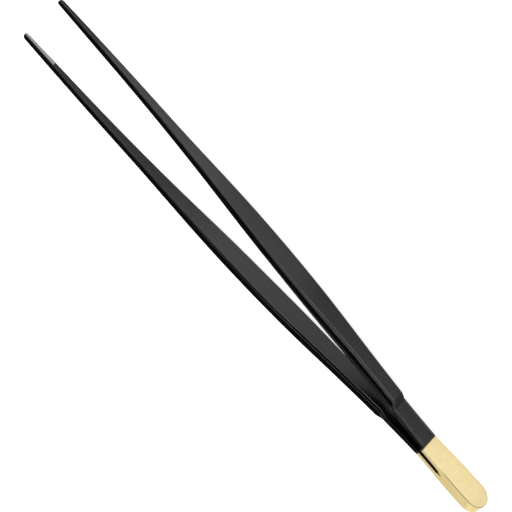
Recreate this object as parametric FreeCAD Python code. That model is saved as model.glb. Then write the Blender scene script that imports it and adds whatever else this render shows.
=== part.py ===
# Long spring forceps: two steel arms welded together at a gold-plated heel, coated black from the neck to
# the tips, with a hard-metal insert in the gripping face of each jaw.
# They lie on their side, as they come to rest on a table: the tips point along +Y, the arms open along X
# and their width stands along Z. The origin is below the middle of the whole, on the table.

import FreeCAD, Part
import os
from collections import namedtuple
from math import cos, radians, sin

# Overall and heel sizes, in millimetres. Places along the forceps are measured from the butt of the heel.
overall_length = 250.0
heel_width = 11.6
heel_thickness = 4.65
heel_parallel_length = 11.5
heel_edge_break = 0.15
weld_length = 20.8
slit_mouth_length = 1.8
slit_mouth_gap = 1.4
slit_gap = 1.7
plated_length = 32.4
plated_width = 10.0

# Spring neck, and the shoulder where the arm becomes narrower and thicker
neck_root_gap = 2.2
neck_root_width = 9.7
neck_bend = 41.0
neck_end = 50.0
neck_width = 8.42
neck_thickness = 1.35
shoulder_length = 4.0
shoulder_width = 6.96
shoulder_thickness = 4.05

# Grip, shank and jaw
back_place = 75.0
grip_start = 95.0
grip_place = 117.0
grip_width = 9.96
grip_thickness = 3.25
grip_end = 140.0
shank_start = 160.0
shank_place = 180.0
shank_width = 4.8
shank_thickness = 2.69
shank_end = 205.0
jaw_length = 15.8
jaw_width = 1.72
jaw_thickness = 2.11
tip_width = 1.1
tip_thickness = 1.72
tip_opening = 24.16
nose_length = 1.2
nose_flat = 0.4

# Insert and coat
insert_depth = 0.7
coat_thickness = 0.2
coat_ramp_length = 0.7
coat_edge_thickness = 0.08

# A station is one cross-section of an arm: its place, half the gap between the arms, the steel's thickness
# and width, and the bevels of its outer and inner edges, each as depth by reach across the arm's face.
Station = namedtuple("Station", "along half_gap thickness width outer_bevel inner_bevel")

NECK_BEVEL = (0.2, 0.95)
SHOULDER_BEVEL = (0.6, 0.6)
ARM_BEVEL = (0.65, 0.65)
SMALL_BEVEL = (0.15, 0.15)

shoulder_place = neck_end + shoulder_length
tip_place = overall_length - coat_thickness
jaw_place = tip_place - jaw_length

neck_root_thickness = (heel_thickness - neck_root_gap) / 2

NECK = [
    Station(plated_length, neck_root_gap / 2, neck_root_thickness, neck_root_width, NECK_BEVEL, (0.7, 0.12)),
    Station(plated_length + coat_ramp_length, 1.4, 1.2, 8.98, NECK_BEVEL, (0.75, 0.17)),
    Station(neck_bend, 1.74, 1.39, 8.66, NECK_BEVEL, (0.9, 0.24)),
    Station(neck_end, 2.45, neck_thickness, neck_width, NECK_BEVEL, (0.9, 0.45)),
]
SHANK = [
    Station(shoulder_place, 2.1, shoulder_thickness, shoulder_width, SHOULDER_BEVEL, (1.3, 0.3)),
    Station(back_place, 3.75, 4.17, 7.72, ARM_BEVEL, (1.35, 0.3)),
    Station(grip_start, 5.29, 4.09, 9.26, ARM_BEVEL, (1.12, 0.4)),
    Station(grip_place, 7.22, grip_thickness, grip_width, (0.45, 0.45), (0.85, 0.37)),
    Station(grip_end, 8.5, 3.16, 8.76, (0.3, 0.3), (0.6, 0.4)),
    Station(shank_start, 9.62, 2.95, 6.8, (0.35, 0.35), (0.5, 0.35)),
    Station(shank_place, 10.47, shank_thickness, shank_width, (0.4, 0.4), (0.4, 0.3)),
    Station(shank_end, 11.38, 2.33, 3.2, (0.3, 0.3), (0.25, 0.2)),
    Station(jaw_place, 11.79, jaw_thickness, jaw_width, SMALL_BEVEL, SMALL_BEVEL),
]
TIP = Station(tip_place, tip_opening / 2, tip_thickness, tip_width, SMALL_BEVEL, SMALL_BEVEL)

rest_height = max([heel_width / 2] + [station.width / 2 + coat_thickness for station in NECK + SHANK])


def loop(points):
    """A closed wire through the points."""
    return Part.makePolygon([FreeCAD.Vector(*point) for point in points + points[:1]])


def ring(along, inner, outer, half_width, outer_bevel, inner_bevel):
    """The eight-sided outline of the front arm at one place, from its inner face to its outer face."""
    outer_depth, outer_across = outer_bevel
    inner_depth, inner_across = inner_bevel
    upper = [
        (inner, along, half_width - inner_across),
        (inner + inner_depth, along, half_width),
        (outer - outer_depth, along, half_width),
        (outer, along, half_width - outer_across),
    ]
    lower = [(out, place, -up) for out, place, up in reversed(upper)]
    return loop(upper + lower)


def station_ring(station, grow=0.0):
    """A station's outline, with every side moved outwards by grow."""
    return ring(
        station.along,
        station.half_gap - grow,
        station.half_gap + station.thickness + grow,
        station.width / 2 + grow,
        station.outer_bevel,
        station.inner_bevel,
    )


def between(start, end, share):
    """A station part of the way from one station to the next."""
    def mix(a, b):
        return a + (b - a) * share

    return Station(
        mix(start.along, end.along),
        mix(start.half_gap, end.half_gap),
        mix(start.thickness, end.thickness),
        mix(start.width, end.width),
        tuple(mix(a, b) for a, b in zip(start.outer_bevel, end.outer_bevel)),
        tuple(mix(a, b) for a, b in zip(start.inner_bevel, end.inner_bevel)),
    )


def shoulder_stations():
    """The S-curve from the thin neck up to the thick arm: even along the arm, eased in its section."""
    stations = []
    for step in range(5):
        share = step / 4
        eased = share * share * (3 - 2 * share)
        place = between(NECK[-1], SHANK[0], share)
        form = between(NECK[-1], SHANK[0], eased)
        stations.append(form._replace(along=place.along, half_gap=place.half_gap))
    return stations


def nose_rings(grow=0.0):
    """The rounded end of the jaw: its outlines shrink towards the gripping face along a quarter circle."""
    nose_start = between(SHANK[-1], TIP, 1 - nose_length / jaw_length)
    rings = [station_ring(SHANK[-1], grow)]
    for angle in (0, 30, 60, 90):
        station = between(nose_start, TIP, sin(radians(angle)))
        left = nose_flat + (1 - nose_flat) * cos(radians(angle))
        inner = station.half_gap - grow
        thickness = (station.thickness + 2 * grow) * left
        half_width = (station.width / 2 + grow) * left
        along = station.along + grow * sin(radians(angle))
        rings.append(ring(along, inner, inner + thickness, half_width, SMALL_BEVEL, SMALL_BEVEL))
    return rings


def joined(solids):
    """One solid from solids that meet face to face."""
    return solids[0].multiFuse(solids[1:]).removeSplitter()


def arm_blank(grow=0.0, first_grow=0.0):
    """The front arm in front of the gold heel, before its jaw is cut for the insert."""
    return joined([
        Part.makeLoft([station_ring(NECK[0], first_grow), station_ring(NECK[1], grow)], True, True),
        Part.makeLoft([station_ring(station, grow) for station in NECK[1:]], True, False),
        Part.makeLoft([station_ring(station, grow) for station in shoulder_stations()], True, False),
        Part.makeLoft([station_ring(station, grow) for station in SHANK], True, False),
        Part.makeLoft(nose_rings(grow), True, True),
    ])


def heel_plate():
    """The front arm's half of the heel: rounded butt, welded face on the mid-plane, its half of the slit."""
    radius = heel_width / 2
    half_front = plated_width / 2
    butt = Part.Arc(
        FreeCAD.Vector(0, radius, -radius), FreeCAD.Vector(0, 0, 0), FreeCAD.Vector(0, radius, radius)
    ).toShape()
    sides = []
    for side in (1, -1):
        taper = Part.BezierCurve()
        taper.setPoles([
            FreeCAD.Vector(0, heel_parallel_length, side * radius),
            FreeCAD.Vector(0, (2 * heel_parallel_length + plated_length) / 3, side * radius),
            FreeCAD.Vector(0, (heel_parallel_length + 2 * plated_length) / 3, side * half_front),
            FreeCAD.Vector(0, plated_length, side * half_front),
        ])
        flat = Part.LineSegment(
            FreeCAD.Vector(0, radius, side * radius), FreeCAD.Vector(0, heel_parallel_length, side * radius)
        )
        sides += [flat.toShape(), taper.toShape()]
    front = Part.LineSegment(
        FreeCAD.Vector(0, plated_length, half_front), FreeCAD.Vector(0, plated_length, -half_front)
    ).toShape()
    outline = Part.Face(Part.Wire(Part.__sortEdges__([butt, front] + sides)))
    plate = outline.extrude(FreeCAD.Vector(heel_thickness / 2, 0, 0))
    rim = [
        edge for edge in plate.Edges
        if edge.BoundBox.XMin > heel_thickness / 2 - heel_edge_break
        and edge.BoundBox.YMin < plated_length - heel_edge_break
    ]
    plate = plate.makeChamfer(heel_edge_break, rim)
    slit = Part.Face(loop([
        (0, weld_length, -radius),
        (slit_mouth_gap / 2, weld_length + slit_mouth_length, -radius),
        (slit_gap / 2, plated_length, -radius),
        (0, plated_length, -radius),
    ])).extrude(FreeCAD.Vector(0, 0, heel_width))
    return plate.cut(slit)


def insert_blank():
    """The plate in the jaw: as wide as the steel, flush with the coat, seated below the steel's face."""
    rings = []
    for station in (SHANK[-1], TIP):
        rings.append(loop([
            (station.half_gap - coat_thickness, station.along, station.width / 2),
            (station.half_gap + insert_depth, station.along, station.width / 2),
            (station.half_gap + insert_depth, station.along, -station.width / 2),
            (station.half_gap - coat_thickness, station.along, -station.width / 2),
        ]))
    return Part.makeLoft(rings, True, True)


def placed(shape):
    """Moves a shape from the butt's frame to the part's own frame."""
    return shape.translated(FreeCAD.Vector(0, -overall_length / 2, rest_height))


def save(shape, name):
    shape.exportStep("parts/" + name + ".step")
    print(name, "valid", shape.isValid(), "solids", len(shape.Solids), "volume", round(shape.Volume, 2))


os.makedirs("parts", exist_ok=True)

steel_blank = arm_blank()
coat_blank = arm_blank(coat_thickness, coat_edge_thickness)
jaw_insert = insert_blank().common(coat_blank)
arm = joined([heel_plate(), steel_blank]).cut(jaw_insert)
coating = coat_blank.cut(steel_blank).cut(jaw_insert)

for name, shape in (("arm", arm), ("coating", coating), ("jaw_insert", jaw_insert)):
    solid = placed(shape)
    save(solid, "front_" + name)
    save(solid.mirror(FreeCAD.Vector(0, 0, 0), FreeCAD.Vector(1, 0, 0)), "rear_" + name)
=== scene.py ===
import math

import bpy
import numpy as np
from mathutils import Matrix, Vector


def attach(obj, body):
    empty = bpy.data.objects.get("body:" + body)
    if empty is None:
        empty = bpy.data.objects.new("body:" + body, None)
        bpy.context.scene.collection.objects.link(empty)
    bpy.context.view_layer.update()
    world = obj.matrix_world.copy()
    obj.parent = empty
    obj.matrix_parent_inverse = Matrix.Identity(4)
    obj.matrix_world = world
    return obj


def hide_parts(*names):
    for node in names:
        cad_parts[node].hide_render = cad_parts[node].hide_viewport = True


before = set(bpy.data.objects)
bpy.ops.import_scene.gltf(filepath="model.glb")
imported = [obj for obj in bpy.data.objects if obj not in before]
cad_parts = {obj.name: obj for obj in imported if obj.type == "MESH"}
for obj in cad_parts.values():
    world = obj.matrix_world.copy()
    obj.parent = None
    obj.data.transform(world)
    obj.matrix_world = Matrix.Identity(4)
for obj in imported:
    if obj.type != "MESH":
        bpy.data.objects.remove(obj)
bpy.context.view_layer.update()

# Main sizes, the same as the part's own
MM = 0.001
LENGTH = 250.0
REST_HEIGHT = 5.8
HEEL_RADIUS = 5.8
HEEL_OUT = 2.325
PARALLEL_END = 11.5
PLATED_END = 32.4
PLATED_HALF = 5.0
COAT = 0.2
COAT_EDGE = 0.08
RAMP_END = 33.1
NECK_END = 50.0
SHOULDER_END = 54.0
JAW_START = 234.0
TIP_END = 249.8
NOSE = 1.2
NOSE_FLAT = 0.4
INSERT_DEPTH = 0.7

# Rounding of the arm's edges, and the largest share of a side that a rounding takes
CORNER = 0.2
NECK_CORNER = 0.12
CORNER_SHARE = 0.45

# Points that hold a flat face flat lie this far from its edge, or at this share of the face if it is small
HOLD = 0.2
HOLD_SHARE = 0.3

# The insert's seat: least coat beside it, least wall behind it, and the insert's clearance in it
SEAT_MARGIN = 0.03
SEAT_WALL = 0.15
CLEARANCE = 0.004

# The steel inside the coat is this much smaller than the part's own, so that it never shows through
CORE_SHRINK = 0.04

# One row is a cross-section of an arm's steel: place, half gap, thickness, width, and the outer and the inner
# bevel, each as depth and reach
NECK = np.array([
    (32.4, 1.1, 1.225, 9.7, 0.2, 0.95, 0.7, 0.12),
    (33.1, 1.4, 1.2, 8.98, 0.2, 0.95, 0.75, 0.17),
    (41.0, 1.74, 1.39, 8.66, 0.2, 0.95, 0.9, 0.24),
    (50.0, 2.45, 1.35, 8.42, 0.2, 0.95, 0.9, 0.45),
])
SHANK = np.array([
    (54.0, 2.1, 4.05, 6.96, 0.6, 0.6, 1.3, 0.3),
    (75.0, 3.75, 4.17, 7.72, 0.65, 0.65, 1.35, 0.3),
    (95.0, 5.29, 4.09, 9.26, 0.65, 0.65, 1.12, 0.4),
    (117.0, 7.22, 3.25, 9.96, 0.45, 0.45, 0.85, 0.37),
    (140.0, 8.5, 3.16, 8.76, 0.3, 0.3, 0.6, 0.4),
    (160.0, 9.62, 2.95, 6.8, 0.35, 0.35, 0.5, 0.35),
    (180.0, 10.47, 2.69, 4.8, 0.4, 0.4, 0.4, 0.3),
    (205.0, 11.38, 2.33, 3.2, 0.3, 0.3, 0.25, 0.2),
    (234.0, 11.79, 2.11, 1.72, 0.15, 0.15, 0.15, 0.15),
])
TIP = np.array((249.8, 12.08, 1.72, 1.1, 0.15, 0.15, 0.15, 0.15))

# Half the slit between the arms at a place: a ragged point at the weld, a V and then an even gap
SLIT = np.array([
    (19.5, 0.0),
    (19.9, 0.1),
    (20.2, 0.08),
    (20.4, 0.25),
    (20.7, 0.22),
    (21.0, 0.42),
    (21.3, 0.4),
    (21.6, 0.56),
    (22.2, 0.68),
    (24.0, 0.74),
    (32.4, 0.85),
])


def curve_through(rows, place):
    """The row at a place on the smooth curve through the rows."""
    places = rows[:, 0]
    steps = np.diff(places)
    system = np.eye(len(rows))
    right = np.zeros(rows.shape)
    for k in range(1, len(rows) - 1):
        system[k, k - 1:k + 2] = steps[k - 1], 2 * (steps[k - 1] + steps[k]), steps[k]
        right[k] = 6 * ((rows[k + 1] - rows[k]) / steps[k] - (rows[k] - rows[k - 1]) / steps[k - 1])
    bend = np.linalg.solve(system, right)
    k = min(max(int(np.searchsorted(places, place)) - 1, 0), len(steps) - 1)
    step = steps[k]
    a = (places[k + 1] - place) / step
    b = 1 - a
    flat = a * rows[k] + b * rows[k + 1]
    return flat + ((a ** 3 - a) * bend[k] + (b ** 3 - b) * bend[k + 1]) * step ** 2 / 6


def steel_row(place):
    """The arm's steel section at a place."""
    if place <= RAMP_END:
        share = (place - PLATED_END) / (RAMP_END - PLATED_END)
        return NECK[0] + (NECK[1] - NECK[0]) * share
    if place <= NECK_END:
        return curve_through(NECK[1:], place)
    if place < SHOULDER_END:
        share = (place - NECK_END) / (SHOULDER_END - NECK_END)
        eased = share * share * (3 - 2 * share)
        row = NECK[-1] + (SHANK[0] - NECK[-1]) * eased
        row[1] = NECK[-1][1] + (SHANK[0][1] - NECK[-1][1]) * share
        return row
    if place <= JAW_START:
        return curve_through(SHANK, place)
    return SHANK[-1] + (TIP - SHANK[-1]) * (place - JAW_START) / (TIP_END - JAW_START)


def rounded(corner, before, after, radius, count):
    """Points on the arc that rounds a corner of a section."""
    to_before = before - corner
    to_after = after - corner
    back = to_before / np.linalg.norm(to_before)
    ahead = to_after / np.linalg.norm(to_after)
    turn = math.pi - math.acos(max(-1.0, min(1.0, float(back @ ahead))))
    room = CORNER_SHARE * min(np.linalg.norm(to_before), np.linalg.norm(to_after))
    reach = min(radius * math.tan(turn / 2), room)
    radius = reach / math.tan(turn / 2)
    middle = back + ahead
    centre = corner + middle / np.linalg.norm(middle) * radius / math.cos(turn / 2)
    first = corner + back * reach - centre
    last = corner + ahead * reach - centre
    arc = []
    for share in np.linspace(0, 1, count):
        mixed = math.sin((1 - share) * turn) * first + math.sin(share * turn) * last
        arc.append(centre + mixed / math.sin(turn))
    return arc


def arm_ring(row, grow, radius, left=1.0, pocket=None, count=5):
    """A closed section of the front arm as (x, z, edge) rows; pocket is the depth of the insert's seat."""
    _, gap, thickness, width, out_depth, out_reach, in_depth, in_reach = row
    inner = gap - grow
    outer = inner + (thickness + 2 * grow) * left
    half = (width / 2 + grow) * left
    corners = [
        np.array((inner, half - in_reach)),
        np.array((inner + in_depth, half)),
        np.array((outer - out_depth, half)),
        np.array((outer, half - out_reach)),
    ]
    corners += [np.array((x, -z)) for x, z in reversed(corners)]
    arcs = []
    for k, corner in enumerate(corners):
        arcs.append(rounded(corner, corners[k - 1], corners[(k + 1) % 8], radius, count))
    ring = []
    for k in range(7):
        ring += [(x, z, 1.0) for x, z in arcs[k]]
        start, end = arcs[k][-1], arcs[k + 1][0]
        hold = min(HOLD / np.linalg.norm(end - start), HOLD_SHARE)
        for share in (hold, 1 - hold):
            x, z = start + (end - start) * share
            ring.append((x, z, 0.0))
    ring += [(x, z, 1.0) for x, z in arcs[7]]

    # The gripping face, with the seat or with two points close together where there is none
    face_half = arcs[0][0][1]
    rim = min(width / 2, face_half - SEAT_MARGIN)
    depth = 0.0
    floor = rim - 0.02
    if pocket is not None:
        depth = min(pocket, outer - inner - SEAT_WALL)
        floor = rim
    hold = face_half - min(HOLD, HOLD_SHARE * (face_half - rim))
    ring += [(inner, -hold, 0.0), (inner, -rim, 0.0), (inner + depth, -floor, 0.0)]
    ring += [(inner + depth, floor, 0.0), (inner, rim, 0.0), (inner, hold, 0.0)]
    return ring


def nose_steps(count):
    """The row, place and size left of each ring in the rounded end of the jaw."""
    start = steel_row(TIP_END - NOSE)
    steps = []
    for share in np.linspace(0, 1, count):
        angle = share * math.pi / 2
        row = start + (TIP - start) * math.sin(angle)
        left = NOSE_FLAT + (1 - NOSE_FLAT) * math.cos(angle)
        steps.append((row, row[0] + COAT * math.sin(angle), left))
    return steps


def coat_rings():
    """The outer skin of the front arm's coat, from its ledge at the gold heel to the tip."""
    rings = []

    def add(place, row, grow, **more):
        radius = CORNER if place > NECK_END else NECK_CORNER
        rings.append([(x, place, z, edge) for x, z, edge in arm_ring(row, grow, radius, **more)])

    # The end is tucked into the gold, then steps out to the ledge and over its rounded edge
    tuck, tuck_shrink = 0.1, 0.12
    ledge_round, ledge_rise = 0.06, 0.03
    add(PLATED_END - tuck, steel_row(PLATED_END), -tuck_shrink)
    add(PLATED_END, steel_row(PLATED_END), -tuck_shrink)
    add(PLATED_END, steel_row(PLATED_END), COAT_EDGE)
    add(PLATED_END + ledge_round, steel_row(PLATED_END + ledge_round), COAT_EDGE + ledge_rise)

    neck_step, shoulder_step, arm_step, jaw_step = 0.8, 0.2, 1.5, 1.4
    shoulder_from, shoulder_to = NECK_END - 1.0, SHOULDER_END + 1.0
    places = list(np.arange(RAMP_END, shoulder_from, neck_step))
    places += list(np.arange(shoulder_from, shoulder_to, shoulder_step))
    places += list(np.arange(shoulder_to, JAW_START - 0.5, arm_step))
    for place in places + [JAW_START - 0.3, JAW_START]:
        add(place, steel_row(place), COAT)
    seat = INSERT_DEPTH + COAT
    for place in [JAW_START + 0.002] + list(np.arange(JAW_START + jaw_step, TIP_END - NOSE, jaw_step)):
        add(place, steel_row(place), COAT, pocket=seat)
    for row, place, left in nose_steps(10):
        add(place, row, COAT, left=left, pocket=seat)
    return rings


def core_rings():
    """The steel inside the coat."""
    places = [PLATED_END, RAMP_END] + list(np.linspace(34.0, NECK_END - 1.0, 9))
    places += list(np.linspace(NECK_END - 0.8, SHOULDER_END, 21))
    places += list(np.linspace(SHOULDER_END + 2.0, JAW_START - 0.1, 60))
    sections = [(place, 0.05, None) for place in places]
    sections += [(place, 0.03, INSERT_DEPTH) for place in np.linspace(JAW_START + 0.01, TIP_END - 0.6, 8)]
    rings = []
    for place, radius, pocket in sections:
        ring = arm_ring(steel_row(place), -CORE_SHRINK, radius, pocket=pocket, count=2)
        rings.append([(x, place, z, 0.0) for x, z, _ in ring])
    return rings


def heel_outline():
    """Places on the heel's upper outline, each with its outward direction, from the butt to the coat."""
    spots = []
    for angle in np.radians(np.arange(0, 90.1, 4.5)):
        ahead, out = -math.cos(angle), math.sin(angle)
        spots.append((HEEL_RADIUS * (1 + ahead), HEEL_RADIUS * out, ahead, out))
    parallel_middle = 8.6
    spots.append((parallel_middle, HEEL_RADIUS, 0.0, 1.0))
    taper = PLATED_END - PARALLEL_END
    shares = set(np.linspace(0, 1, 25)) | {(place - PARALLEL_END) / taper for place in SLIT[:-1, 0]}
    fall = HEEL_RADIUS - PLATED_HALF
    for share in sorted(shares):
        slope = -fall * 6 * share * (1 - share) / taper
        size = math.hypot(slope, 1)
        half = HEEL_RADIUS - fall * share * share * (3 - 2 * share)
        spots.append((PARALLEL_END + taper * share, half, -slope / size, 1 / size))
    return spots


def heel_rings():
    """The front arm's half of the heel: rings of (x, place, z, edge)."""
    rim, slit_rim, face_inset = 0.22, 0.05, 0.5
    rings = []
    for place, half, ahead, out in heel_outline():
        inner = float(np.interp(place, SLIT[:, 0], SLIT[:, 1]))
        profile = [(inner, face_inset, 0.0), (inner, slit_rim, 0.0)]
        for angle in np.radians((30, 60)):
            profile.append((
                inner + slit_rim * (1 - math.cos(angle)), slit_rim * (1 - math.sin(angle)), 0.3
            ))
        profile.append((inner + slit_rim, 0.0, 0.0))
        profile.append((inner + HOLD, 0.0, 0.0))
        profile.append((HEEL_OUT - rim - HOLD, 0.0, 0.0))
        for angle in np.radians(np.linspace(0, 90, 7)):
            profile.append((
                HEEL_OUT - rim + rim * math.sin(angle), rim * (1 - math.cos(angle)), 1.0
            ))
        profile.append((HEEL_OUT, rim + 0.15, 0.0))
        profile.append((HEEL_OUT, face_inset, 0.0))
        upper = []
        for x, inset, edge in profile:
            upper.append((x, place - ahead * inset, max(half - out * inset, 0.0), edge))
        lower = [(x, along, -z, edge) for x, along, z, edge in reversed(upper)]
        middle = place - ahead * face_inset
        rings.append([(inner, middle, 0.0, 0.0)] + upper + [(HEEL_OUT, middle, 0.0, 0.0)] + lower)
    return rings


def insert_rings():
    """The insert: its gripping face is cut by two crossing sets of fine grooves."""
    pitch, cut, groove_share, fade_length, step = 0.4, 0.035, 2.2, 0.3, 0.1
    edge_inset = 0.12
    places = np.arange(JAW_START + 0.01, TIP_END - NOSE, step)
    steps = [(steel_row(place), place, 1.0) for place in places] + nose_steps(9)
    rings = []
    for row, place, left in steps:
        inner = row[1] - COAT
        thickness = (row[2] + 2 * COAT) * left
        face_half = (row[3] / 2 + COAT) * left - edge_inset
        half = min(row[3] / 2, face_half - SEAT_MARGIN) - CLEARANCE
        depth = min(INSERT_DEPTH + COAT, thickness - SEAT_WALL) - CLEARANCE
        to_nose = max(0.0, (TIP_END - NOSE - place) / fade_length)
        fade = min(1.0, (place - JAW_START) / fade_length, to_nose)
        ring = []
        for share in np.linspace(-1, 1, 15):
            z = share * half
            waves = [abs(((place + slope * z) / pitch) % 1 - 0.5) * 2 for slope in (1, -1)]
            groove = max(0.0, 1 - groove_share * min(waves)) * cut * fade
            ring.append((inner + CLEARANCE + groove, place, z, 0.0))
        ring.append((inner + depth, place, half, 0.0))
        ring.append((inner + depth, place, -half, 0.0))
        rings.append(ring)
    return rings


def skin(rings):
    """Vertices and faces of the closed skin over rings of equal length."""
    count = len(rings[0])
    vertices = [spot for ring in rings for spot in ring]
    faces = []
    for k in range(len(rings) - 1):
        for j in range(count):
            n = (j + 1) % count
            faces.append((k * count + j, k * count + n, (k + 1) * count + n, (k + 1) * count + j))
    last = (len(rings) - 1) * count
    faces.append(tuple(range(count))[::-1])
    faces.append(tuple(range(last, last + count)))
    return vertices, faces


def make_piece(name, skins, side, materials, pick=None):
    """A piece from one or more skins; side 1 is the front arm and -1 its mirror image, the rear arm."""
    vertices, faces = [], []
    for skin_vertices, skin_faces in skins:
        first = len(vertices)
        vertices += skin_vertices
        faces += [tuple(first + k for k in face) for face in skin_faces]
    spots = np.array(vertices)
    placed = np.column_stack((
        spots[:, 0] * side, spots[:, 1] - LENGTH / 2, spots[:, 2] + REST_HEIGHT
    )) * MM
    if side > 0:
        faces = [face[::-1] for face in faces]
    mesh = bpy.data.meshes.new(name)
    mesh.from_pydata(placed.tolist(), [], faces)
    # Points on rounded edges: the coat's painted edge highlight and the gold's painted rim shade are laid on
    # them
    edge = mesh.attributes.new("rounded_edge", "FLOAT", "POINT")
    edge.data.foreach_set("value", spots[:, 3].astype(np.float32))
    for material in materials:
        mesh.materials.append(material)
    if pick:
        for polygon in mesh.polygons:
            polygon.material_index = pick(polygon)
    mesh.validate()
    mesh.shade_smooth()
    piece = bpy.data.objects.new(name, mesh)
    bpy.context.collection.objects.link(piece)
    weld = piece.modifiers.new("weld", "WELD")
    weld.merge_threshold = 2e-7
    mesh.set_sharp_from_angle(angle=math.radians(38))
    even = piece.modifiers.new("even", "WEIGHTED_NORMAL")
    even.keep_sharp = True
    even.weight = 100
    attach(piece, "root")
    return piece


class Nodes:
    """A node tree with short calls to fill it."""

    def __init__(self, tree):
        self.tree = tree
        self.shader = tree.nodes.get("Principled BSDF")

    def feed(self, socket, value):
        """Links a node's output to the socket, or sets the socket's own value."""
        if isinstance(value, bpy.types.NodeSocket):
            self.tree.links.new(value, socket)
        else:
            socket.default_value = value

    def add(self, kind, inputs, **settings):
        node = self.tree.nodes.new(kind)
        for key, value in settings.items():
            setattr(node, key, value)
        for key, value in inputs.items():
            self.feed(node.inputs[key], value)
        return node

    def coordinates(self, kind):
        return self.add("ShaderNodeTexCoord", {}).outputs[kind]

    def axes(self, vector):
        return self.add("ShaderNodeSeparateXYZ", {0: vector}).outputs

    def along(self):
        """The place along the forceps, in millimetres from the butt."""
        metres = self.axes(self.coordinates("Object"))["Y"]
        return self.math("ADD", self.math("MULTIPLY", metres, 1 / MM), LENGTH / 2)

    def rounded_edge(self):
        """How near a point is to a rounded edge, from 0 to 1."""
        return self.add("ShaderNodeAttribute", {}, attribute_name="rounded_edge").outputs["Fac"]

    def noise(self, scale, detail=3.0, roughness=0.5, stretch=(1.0, 1.0, 1.0), shift=0.0):
        mapping = self.add("ShaderNodeMapping", {
            "Vector": self.coordinates("Object"), "Scale": stretch, "Location": (shift, 0.0, 0.0)
        })
        made = self.add("ShaderNodeTexNoise", {
            "Vector": mapping.outputs[0], "Scale": scale, "Detail": detail, "Roughness": roughness
        })
        return made.outputs["Fac"]

    def ramp(self, value, low, high, start, end, kind="LINEAR"):
        """Takes a value from low to high over to start to end, and no further."""
        made = self.add("ShaderNodeMapRange", {
            "Value": value, "From Min": low, "From Max": high, "To Min": start, "To Max": end
        }, interpolation_type=kind)
        return made.outputs["Result"]

    def soft(self, value, low, high, start, end):
        """A ramp that starts and ends gently."""
        return self.ramp(value, low, high, start, end, "SMOOTHSTEP")

    def math(self, operation, *values):
        return self.add("ShaderNodeMath", dict(enumerate(values)), operation=operation).outputs[0]

    def mix(self, share, first, second):
        """A mix of two colours; the colour sockets of this node are numbers 6 and 7, and 2 comes out."""
        return self.add("ShaderNodeMix", {0: share, 6: first, 7: second}, data_type="RGBA").outputs[2]

    def bump(self, height, strength, distance):
        inputs = {"Height": height, "Strength": strength, "Distance": distance}
        return self.add("ShaderNodeBump", inputs).outputs[0]

    def put(self, socket, value):
        self.feed(self.shader.inputs[socket], value)


def new_material(name):
    """A new material and its nodes."""
    material = bpy.data.materials.new(name)
    material.use_nodes = True
    return material, Nodes(material.node_tree)


def coat_painted_sheen(nodes, outward):
    """Painted reflection that lifts the black of the broad faces by place along the arm: the outer face, then
    the inner one.
    """
    place = nodes.along()
    outer = nodes.math(
        "ADD", nodes.soft(place, 100.0, 118.0, 0.2, 0.7), nodes.soft(place, 148.0, 166.0, 0.0, 0.45)
    )
    outer = nodes.math("MULTIPLY", outer, nodes.soft(place, 222.0, 232.0, 1.0, 0.1))
    outer = nodes.math("MULTIPLY", outer, nodes.soft(outward, 0.9, 0.98, 0.0, 1.0))
    inner = nodes.math(
        "MULTIPLY", nodes.soft(place, 56.0, 74.0, 0.0, 1.9), nodes.soft(place, 130.0, 185.0, 1.0, 0.15)
    )
    inner = nodes.math("MULTIPLY", inner, nodes.soft(outward, -0.9, -0.98, 0.0, 1.0))
    return nodes.math("ADD", outer, inner)


def coat_wear_and_highlight(nodes, outward):
    """Painted highlight on the rounded edges, partly real rubbing in patches; it reaches furthest beside the
    outer face, and on the neck only the outer face's own edge gets it.
    """
    place = nodes.along()
    rounded_edge = nodes.rounded_edge()
    patches = nodes.noise(900.0, stretch=(1.0, 0.25, 1.0), shift=0.4)
    rubbed = nodes.math("MULTIPLY", rounded_edge, nodes.ramp(patches, 0.42, 0.68, 0.0, 1.0))
    edge = nodes.math("ADD", nodes.math("MULTIPLY", rounded_edge, 0.45), nodes.math("MULTIPLY", rubbed, 0.35))
    reach = nodes.math(
        "MAXIMUM", nodes.soft(outward, 0.93, 0.985, 0.0, 1.5), nodes.soft(place, 46.0, 54.0, 0.1, 1.0)
    )
    reach = nodes.math("MULTIPLY", reach, nodes.soft(place, 100.0, 118.0, 1.0, 0.45))
    return nodes.math("MULTIPLY", edge, reach)


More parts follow.
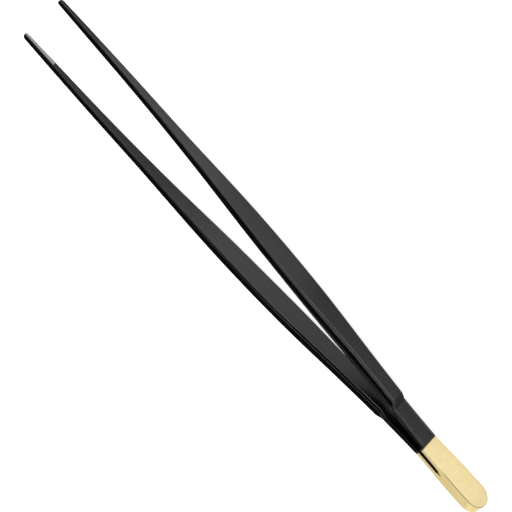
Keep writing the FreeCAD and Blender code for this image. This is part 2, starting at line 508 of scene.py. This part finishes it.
def coat_material():
    """Matt black coat with a fine grain and cloudy sheen; its broad faces get a painted reflection and its
    edges a painted highlight, partly real rubbing.
    """
    material, nodes = new_material("black_coat")
    grain = nodes.noise(5200.0, detail=2.0, roughness=0.6)
    cloud = nodes.noise(260.0, detail=4.0, stretch=(1.0, 0.35, 1.0))
    facing = nodes.axes(nodes.coordinates("Normal"))
    side = nodes.math("SIGN", nodes.axes(nodes.coordinates("Object"))["X"])
    outward = nodes.math("MULTIPLY", facing["X"], side)
    # The grey of the edges is a painted highlight, partly real rubbing
    edge_highlight_grey = (0.085, 0.085, 0.0833, 1.0)
    painted_sheen_share = 0.028
    colour = nodes.mix(cloud, (0.0009, 0.0009, 0.0010, 1.0), (0.0018, 0.0018, 0.0017, 1.0))
    colour = nodes.mix(coat_wear_and_highlight(nodes, outward), colour, edge_highlight_grey)
    # The white mixed into the broad faces is a painted reflection
    painted_sheen = nodes.math("MULTIPLY", coat_painted_sheen(nodes, outward), painted_sheen_share)
    nodes.put("Base Color", nodes.mix(painted_sheen, colour, (1.0, 1.0, 1.0, 1.0)))
    rough = nodes.ramp(cloud, 0.3, 0.7, 0.17, 0.23)
    rough = nodes.math("ADD", rough, nodes.ramp(grain, 0.3, 0.7, -0.02, 0.03))
    steep = nodes.soft(nodes.math("ABSOLUTE", facing["Y"]), 0.15, 0.45, 0.0, 0.6)
    nodes.put("Roughness", nodes.math("ADD", rough, steep))
    nodes.put("IOR", 1.34)
    nodes.put("Specular IOR Level", 0.5)
    nodes.put("Normal", nodes.bump(grain, 0.12, 0.02 * MM))
    return material


def gold_material():
    """Satin gold plating with faint clouding and fine lengthwise grinding; the narrow sides get painted
    light, and the coat's ledge and the butt's rim get painted shade.
    """
    material, nodes = new_material("gold_plating")
    place = nodes.along()
    cloud = nodes.noise(300.0, detail=4.0)
    tint = nodes.noise(160.0, detail=2.0, shift=0.9)
    grind = nodes.noise(2600.0, roughness=0.65, stretch=(1.0, 0.06, 1.0))
    colour = nodes.mix(
        nodes.ramp(cloud, 0.3, 0.7, 0.0, 1.0), (0.745, 0.62, 0.308, 1.0), (0.80, 0.67, 0.345, 1.0)
    )
    colour = nodes.mix(nodes.ramp(tint, 0.35, 0.65, 0.0, 0.25), colour, (0.81, 0.62, 0.345, 1.0))

    # The narrow sides are painted yellower and brighter than the broad faces as far as the slit, as painted
    # light, and the butt is darker
    facing = nodes.axes(nodes.coordinates("Normal"))["X"]
    narrow_painted_light = nodes.soft(nodes.math("ABSOLUTE", facing), 0.5, 0.15, 0.0, 0.8)
    narrow_painted_light = nodes.math("MULTIPLY", narrow_painted_light, nodes.soft(place, 20.0, 26.0, 1.0, 0.0))
    colour = nodes.mix(narrow_painted_light, colour, (0.885, 0.714, 0.302, 1.0))
    colour = nodes.mix(nodes.soft(place, 2.0, 9.0, 0.24, 0.0), colour, (0.50, 0.42, 0.21, 1.0))

    # Painted shade at the coat's ledge, as a dark line that wanders a little, and a painted dark reflection
    # on the rim of the butt that fades out forwards
    wander = nodes.ramp(nodes.noise(1500.0, detail=2.0, shift=0.2), 0.3, 0.7, -0.12, 0.12)
    ledge_painted_shade = nodes.ramp(nodes.math("ADD", place, wander), PLATED_END - 0.55, PLATED_END - 0.2, 0.0, 0.85)
    colour = nodes.mix(ledge_painted_shade, colour, (0.06, 0.045, 0.03, 1.0))
    rim_painted_shade = nodes.math("MULTIPLY", nodes.rounded_edge(), nodes.soft(place, 18.0, 23.0, 0.75, 0.0))
    nodes.put("Base Color", nodes.mix(rim_painted_shade, colour, (0.22, 0.17, 0.08, 1.0)))
    nodes.put("Metallic", 0.45)
    nodes.put("Specular IOR Level", 1.0)
    nodes.put("Roughness", nodes.ramp(grind, 0.3, 0.7, 0.40, 0.50))
    nodes.put("Normal", nodes.bump(grind, 0.1, 0.01 * MM))
    return material


def slit_shade_material():
    """Painted shade for the inside of the slit between the arms: a near-black brown on its walls."""
    material, nodes = new_material("slit_painted_shade")
    cloud = nodes.noise(700.0)
    nodes.put("Base Color", nodes.mix(cloud, (0.016, 0.006, 0.001, 1.0), (0.034, 0.012, 0.002, 1.0)))
    nodes.put("Roughness", nodes.ramp(cloud, 0.3, 0.7, 0.55, 0.75))
    nodes.put("Specular IOR Level", 0.15)
    nodes.put("Normal", nodes.bump(cloud, 0.2, 0.02 * MM))
    return material


def insert_material():
    """Light grey sintered hard metal, matt, with a fine grain."""
    material, nodes = new_material("hard_metal")
    grain = nodes.noise(6000.0)
    cloud = nodes.noise(900.0)
    nodes.put("Base Color", nodes.mix(cloud, (0.26, 0.26, 0.265, 1.0), (0.34, 0.34, 0.345, 1.0)))
    nodes.put("Metallic", 0.8)
    nodes.put("Roughness", nodes.ramp(grain, 0.3, 0.7, 0.45, 0.6))
    nodes.put("Normal", nodes.bump(grain, 0.2, 0.01 * MM))
    return material


coat = coat_material()
gold = gold_material()
slit_painted_shade = slit_shade_material()
hard_metal = insert_material()

coat_skin = skin(coat_rings())
core_skin = skin(core_rings())
heel_skin = skin(heel_rings())
insert_skin = skin(insert_rings())
heel_face_count = len(heel_skin[1])
slit_wall_start = (SLIT[0][0] + 0.2 - LENGTH / 2) * MM
slit_wall_reach = 0.95 * MM


def heel_or_slit(polygon):
    """Material number of a face of the arm: the slit's walls get the painted shade, and so does the hidden
    steel.
    """
    if polygon.index >= heel_face_count:
        return 1
    facing = abs(polygon.normal.x) > 0.9
    near_middle = abs(polygon.center.x) < slit_wall_reach
    return 1 if facing and near_middle and polygon.center.y > slit_wall_start else 0


for arm, side in (("front", 1), ("rear", -1)):
    steel = make_piece(arm + "_arm_steel", [heel_skin, core_skin], side, [gold, slit_painted_shade], heel_or_slit)
    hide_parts(arm + "_arm")
    skin_piece = make_piece(arm + "_arm_coat", [coat_skin], side, [coat])
    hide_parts(arm + "_coating")
    plate = make_piece(arm + "_insert_plate", [insert_skin], side, [hard_metal])
    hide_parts(arm + "_jaw_insert")

# Camera at the photograph's viewing angle: the arms' directions in space and in the picture give its axes
around = math.radians(45.0)
dip = math.radians(2.9)
turned = math.radians(1.564)
up_face = np.array((math.sin(around), 0.0, -math.cos(around)))
up_arm = np.array((-math.cos(around) * math.sin(dip), math.cos(dip), -math.sin(around) * math.sin(dip)))
back = np.array((math.cos(around) * math.cos(dip), math.sin(dip), math.sin(around) * math.cos(dip)))
arm_in_picture = np.array((-0.64791, -0.76171))
face_in_picture = np.array((0.76171, -0.64791))
arm_turned = math.cos(turned) * arm_in_picture - math.sin(turned) * face_in_picture
face_turned = math.cos(turned) * face_in_picture + math.sin(turned) * arm_in_picture
right = up_arm * arm_turned[0] + up_face * face_turned[0]
up = -(up_arm * arm_turned[1] + up_face * face_turned[1])
aimed_at = np.array((0.0, 3.3, 5.75))
spot = aimed_at + 1364.0 * back - 0.459 * right + 0.375 * up
camera = bpy.data.objects.new("camera", bpy.data.cameras.new("camera"))
camera.data.sensor_width = 36.0
camera.data.lens = 253.125
camera.data.clip_end = 100.0
turn = Matrix((right, up, back)).transposed().to_4x4()
camera.matrix_world = Matrix.Translation(Vector(spot * MM)) @ turn
bpy.context.collection.objects.link(camera)
bpy.context.scene.camera = camera


def lamp(name, place, width, height, power):
    """A soft rectangular lamp, in metres and watts, that looks at the middle of the forceps."""
    light = bpy.data.lights.new(name, "AREA")
    light.shape = "RECTANGLE"
    light.size = width
    light.size_y = height
    light.energy = power
    made = bpy.data.objects.new(name, light)
    made.location = place
    made.rotation_euler = (-Vector(place)).to_track_quat("-Z", "Y").to_euler()
    made.visible_camera = False
    bpy.context.collection.objects.link(made)


# A low strip in front, and a wide lamp beyond each end, which lights the upper sides without a mirror image
lamp("front_strip", (1.1, 0.1, 0.08), 1.1, 0.12, 3.2)
lamp("heel_end", (0.0, -0.95, 0.95), 2.0, 0.9, 18.0)
lamp("tip_end", (0.0, 0.95, 0.95), 2.0, 0.9, 18.0)

# Floor: white to the camera, plainer in reflections, and it keeps the object's shadow
floor_seen, floor_mirrored, floor_grey = 0.78, 0.45, 0.55
floor_mesh = bpy.data.meshes.new("floor")
floor_mesh.from_pydata([(-15, -15, 0), (15, -15, 0), (15, 15, 0), (-15, 15, 0)], [], [(0, 1, 2, 3)])
floor = bpy.data.objects.new("floor", floor_mesh)
bpy.context.collection.objects.link(floor)
floor_material, ground = new_material("floor")
ground.tree.nodes.remove(ground.shader)
paths = ground.add("ShaderNodeLightPath", {}).outputs
seen = ground.math("MULTIPLY", paths["Is Camera Ray"], floor_seen)
mirrored = ground.math("MAXIMUM", paths["Is Glossy Ray"], paths["Is Transmission Ray"])
mirrored = ground.math("MULTIPLY", mirrored, floor_mirrored)
shine = ground.add("ShaderNodeEmission", {"Strength": ground.math("ADD", seen, mirrored)})
matt = ground.add("ShaderNodeBsdfDiffuse", {"Color": (floor_grey, floor_grey, floor_grey, 1.0)})
both = ground.add("ShaderNodeAddShader", {0: shine.outputs[0], 1: matt.outputs[0]})
ground.feed(ground.tree.nodes["Material Output"].inputs["Surface"], both.outputs[0])
floor_mesh.materials.append(floor_material)

# World: a pale band along the horizon, a soft glow high in front, and dim elsewhere
glow_rise = math.radians(42.0)
dim = 0.04
world = bpy.data.worlds.new("studio")
world.use_nodes = True
bpy.context.scene.world = world
sky = Nodes(world.node_tree)
direction = sky.coordinates("Generated")
band = sky.soft(sky.axes(direction)["Z"], 0.06, 0.20, 1.0, 0.0)
toward_glow = sky.add("ShaderNodeVectorMath", {
    0: direction, 1: (math.cos(glow_rise), 0.0, math.sin(glow_rise))
}, operation="DOT_PRODUCT").outputs["Value"]
glow = sky.soft(toward_glow, 0.86, 0.985, 0.0, 1.7)
total = sky.math("ADD", sky.math("ADD", band, glow), dim)
background = sky.tree.nodes["Background"]
sky.feed(background.inputs["Strength"], total)
sky.feed(background.inputs["Color"], (1.0, 1.0, 1.0, 1.0))

bpy.context.scene.view_settings.view_transform = "Standard"
